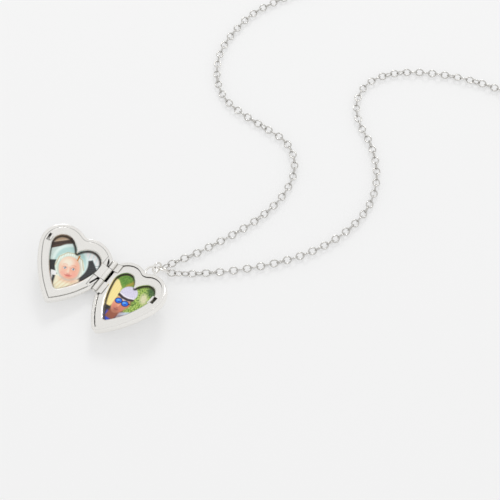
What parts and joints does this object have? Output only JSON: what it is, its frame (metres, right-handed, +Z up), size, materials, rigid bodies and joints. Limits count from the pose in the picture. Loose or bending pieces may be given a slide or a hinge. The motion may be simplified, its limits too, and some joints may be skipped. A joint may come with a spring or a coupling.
{
  "type": "photo locket necklace",
  "caption": "Heart-shaped hinged photo locket, open like a book, with a print in each half, hung by rings from a fine cable chain with a trigger clasp.",
  "frame": {"origin": "on the table, under the middle of the open locket, below its hinge axis", "axes": "+Y along the hinge, away from the hearts' tips; +X towards the back half; +Z up from the table"},
  "size_m": [0.1041, 0.1492, 0.0081],
  "materials": {
    "locket_steel": "polished",
    "chain_steel": "polished",
    "print_back": "glossy print",
    "print_cover": "glossy print"
  },
  "bodies": {
    "chain": {"chain_left": "chain_steel", "chain_right": "chain_steel", "jump_ring": "chain_steel", "clasp_ring": "chain_steel", "clasp_body": "chain_steel", "clasp_rivet": "chain_steel", "clasp_spring": "chain_steel", "end_ring": "chain_steel"},
    "link": {"link_ring": "chain_steel"},
    "back": {"back_shell": "locket_steel", "back_frame": "locket_steel", "back_print": "print_back", "back_knuckle_near": "locket_steel", "back_knuckle_far": "locket_steel", "hinge_pin": "locket_steel", "bail_ring": "locket_steel", "catch_keeper": "locket_steel"},
    "cover": {"cover_shell": "locket_steel", "cover_frame": "locket_steel", "cover_print": "print_cover", "cover_knuckle": "locket_steel", "catch_tongue": "locket_steel"},
    "lever": {"clasp_lever": "chain_steel"}
  },
  "joints": [
    {"name": "link_swing", "type": "hinge", "parent": "chain", "child": "link", "pos_m": [0.00959, 0.01104, 0.00314], "axis": [0.9348, -0.1284, 0.3311], "range_deg": [-20, 20]},
    {"name": "pendant_swing", "type": "hinge", "parent": "link", "child": "back", "pos_m": [0.00913, 0.01034, 0.00428], "axis": [0.9437, -0.1144, 0.3103], "range_deg": [-25, 25]},
    {"name": "cover_hinge", "type": "hinge", "parent": "back", "child": "cover", "pos_m": [0, 0, 0.00233], "axis": [0, 1, 0], "range_deg": [0, 143.6]},
    {"name": "clasp_trigger", "type": "hinge", "parent": "chain", "child": "lever", "pos_m": [0.06253, 0.13713, 0.0014], "axis": [0, 0, 1], "range_deg": [-9, 0], "stiffness_Nm_per_rad": 0.002, "springref_deg": 4.58}
  ]
}
